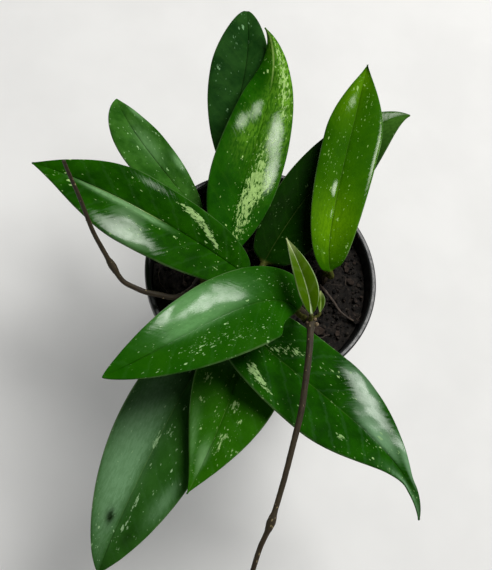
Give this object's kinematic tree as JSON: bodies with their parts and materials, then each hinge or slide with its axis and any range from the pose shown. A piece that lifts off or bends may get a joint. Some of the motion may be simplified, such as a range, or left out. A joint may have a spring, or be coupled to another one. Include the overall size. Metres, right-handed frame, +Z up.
{
  "type": "potted hoya plant",
  "caption": "Potted hoya: long waxy pointed leaves on trailing stems that grow from soil in a round tapered nursery pot.",
  "frame": {"origin": "middle of the underside of the pot, in the plane that it stands on", "axes": "+Z up along the pot's axis, -Y towards the long hanging shoot, +X to the right as seen from there"},
  "size_m": [0.166, 0.2624, 0.1466],
  "materials": {
    "pot": "black moulded plastic with a dull sheen",
    "soil": "dark moist potting soil with bark crumbs",
    "stem": "thin brown woody vine with pale specks",
    "root": "dry reddish brown root",
    "leaf": "thick waxy dark green leaf with silver and cream flecks",
    "leaf_bright": "thick waxy mid green leaf with pale flecks",
    "young": "young yellow green leaf with pale edges"
  },
  "bodies": {
    "root": {"pot": "pot", "soil": "soil", "stem_front": "stem", "stem_left": "stem", "stem_centre": "stem", "stem_back": "stem", "stem_right": "stem", "surface_root": "root", "leaf_left": "leaf", "leaf_upper_left": "leaf", "leaf_top_back": "leaf", "leaf_top_front": "leaf", "leaf_right_upper": "leaf_bright", "leaf_right_back": "leaf", "leaf_centre": "leaf", "leaf_lower_right": "leaf", "leaf_lower_left": "leaf", "leaf_lower_middle": "leaf", "young_leaf_front": "young", "young_leaf_back": "young"}
  },
  "joints": []
}
